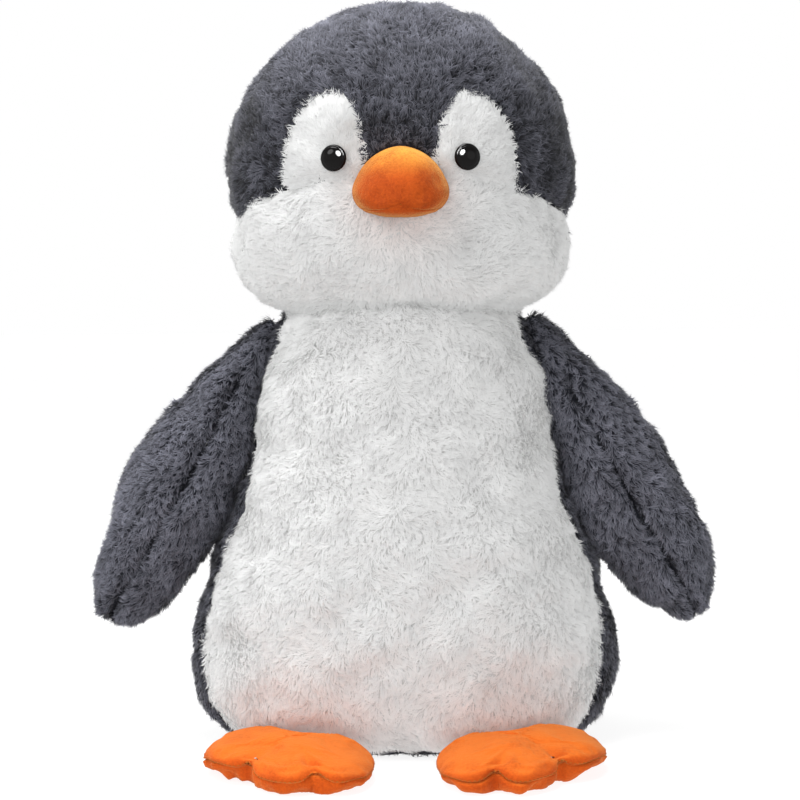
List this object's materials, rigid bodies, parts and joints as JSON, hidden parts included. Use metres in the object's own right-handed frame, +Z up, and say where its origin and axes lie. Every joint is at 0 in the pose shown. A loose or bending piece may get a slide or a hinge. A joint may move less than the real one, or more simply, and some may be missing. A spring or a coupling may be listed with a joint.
{
  "type": "plush penguin",
  "caption": "Large upright stuffed penguin with a round head, safety eyes, a padded beak, hanging flippers and flat splayed feet, sewn from plush panels round soft filling.",
  "frame": {"origin": "on the ground under the middle of the bounding box", "axes": "+Z up along the body, -Y the way the penguin faces, +X the penguin's own left"},
  "size_m": [0.6448, 0.4352, 0.757],
  "materials": {
    "slate_plush": "long brushed pile, matt, dark slate grey",
    "white_plush": "long brushed pile, matt, off-white",
    "orange_cloth": "short velour nap with a soft sheen, orange",
    "stuffing": "loose white polyester fibre, hidden inside",
    "eye_plastic": "polished black moulded plastic",
    "washer_plastic": "plain moulded plastic, hidden inside"
  },
  "bodies": {
    "torso": {"belly_panel": "white_plush", "back_panel_left": "slate_plush", "back_panel_right": "slate_plush", "base_panel": "slate_plush", "body_stuffing": "stuffing"},
    "head": {"crown_front": "slate_plush", "crown_back_left": "slate_plush", "crown_back_right": "slate_plush", "cheek_panel": "white_plush", "eye_patch_left": "white_plush", "eye_patch_right": "white_plush", "eye_left": "eye_plastic", "eye_right": "eye_plastic", "eye_washer_left": "washer_plastic", "eye_washer_right": "washer_plastic", "head_stuffing": "stuffing", "beak_upper": "orange_cloth", "beak_lower": "orange_cloth", "beak_stuffing": "stuffing"},
    "flipper_left": {"flipper_left_outer_panel": "slate_plush", "flipper_left_inner_panel": "slate_plush", "flipper_left_stuffing": "stuffing"},
    "flipper_right": {"flipper_right_outer_panel": "slate_plush", "flipper_right_inner_panel": "slate_plush", "flipper_right_stuffing": "stuffing"},
    "foot_left": {"foot_left_top_panel": "orange_cloth", "foot_left_sole_panel": "orange_cloth", "foot_left_stuffing": "stuffing"},
    "foot_right": {"foot_right_top_panel": "orange_cloth", "foot_right_sole_panel": "orange_cloth", "foot_right_stuffing": "stuffing"}
  },
  "joints": [
    {"name": "head_turn", "type": "hinge", "parent": "torso", "child": "head", "pos_m": [0, 0.057, 0.443], "axis": [0, 0, 1], "range_deg": [-15, 15], "stiffness_Nm_per_rad": 3},
    {"name": "flipper_left_lift", "type": "hinge", "parent": "torso", "child": "flipper_left", "pos_m": [0.146, 0.045, 0.404], "axis": [0, -1, 0], "range_deg": [0, 60], "stiffness_Nm_per_rad": 0.8},
    {"name": "flipper_right_lift", "type": "hinge", "parent": "torso", "child": "flipper_right", "pos_m": [-0.146, 0.045, 0.404], "axis": [0, 1, 0], "range_deg": [0, 60], "stiffness_Nm_per_rad": 0.8},
    {"name": "foot_left_flex", "type": "hinge", "parent": "torso", "child": "foot_left", "pos_m": [0.112, -0.075, 0.022], "axis": [-0.9397, -0.342, 0], "range_deg": [-28, 14], "stiffness_Nm_per_rad": 0.4},
    {"name": "foot_right_flex", "type": "hinge", "parent": "torso", "child": "foot_right", "pos_m": [-0.112, -0.075, 0.022], "axis": [-0.9397, 0.342, 0], "range_deg": [-28, 14], "stiffness_Nm_per_rad": 0.4}
  ]
}
